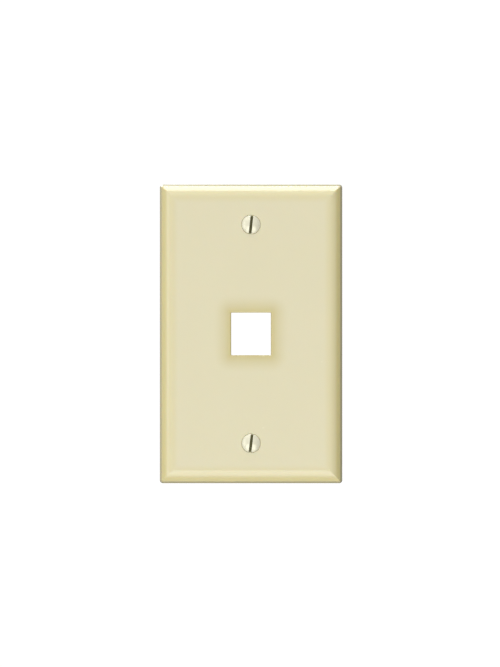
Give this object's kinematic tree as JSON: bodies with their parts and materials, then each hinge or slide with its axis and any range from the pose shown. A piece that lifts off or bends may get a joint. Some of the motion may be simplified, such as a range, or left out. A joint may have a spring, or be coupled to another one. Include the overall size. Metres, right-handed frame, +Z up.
{
  "type": "wall plate",
  "caption": "Rectangular bevelled wall plate with one square see-through port in the middle and a captive slotted oval-head screw above and below it.",
  "frame": {"origin": "the middle of the plate on the wall's surface, at the level of the plate's back rim", "axes": "+Z up the wall along the plate's height, +X to the right as the room sees it, +Y into the wall, so the front faces -Y"},
  "size_m": [0.0698, 0.017, 0.1142],
  "materials": {
    "plate_plastic": "ivory, moulded, semi-gloss",
    "screw_paint": "steel with a glossy ivory enamel on the head",
    "washer_fibre": "dull red vulcanised fibre"
  },
  "bodies": {
    "plate": {"wall_plate": "plate_plastic"},
    "top_washer": {"top_retaining_washer": "washer_fibre"},
    "top_screw": {"top_mounting_screw": "screw_paint"},
    "bottom_washer": {"bottom_retaining_washer": "washer_fibre"},
    "bottom_screw": {"bottom_mounting_screw": "screw_paint"}
  },
  "joints": [
    {"name": "top_screw_travel", "type": "slide", "parent": "plate", "child": "top_washer", "axis": [0, -1, 0], "range_m": [0, 0.00476]},
    {"name": "top_screw_turn", "type": "hinge", "parent": "top_washer", "child": "top_screw", "pos_m": [0, 0, 0.04167], "axis": [0, -1, 0], "range_deg": [0, 2162]},
    {"name": "bottom_screw_travel", "type": "slide", "parent": "plate", "child": "bottom_washer", "axis": [0, -1, 0], "range_m": [0, 0.00476]},
    {"name": "bottom_screw_turn", "type": "hinge", "parent": "bottom_washer", "child": "bottom_screw", "pos_m": [0, 0, -0.04167], "axis": [0, -1, 0], "range_deg": [0, 2162]}
  ],
  "couplings": [
    {"joint": "top_screw_turn", "follows": "top_screw_travel", "rad_per_m": 7915.8},
    {"joint": "bottom_screw_turn", "follows": "bottom_screw_travel", "rad_per_m": 7915.8}
  ]
}
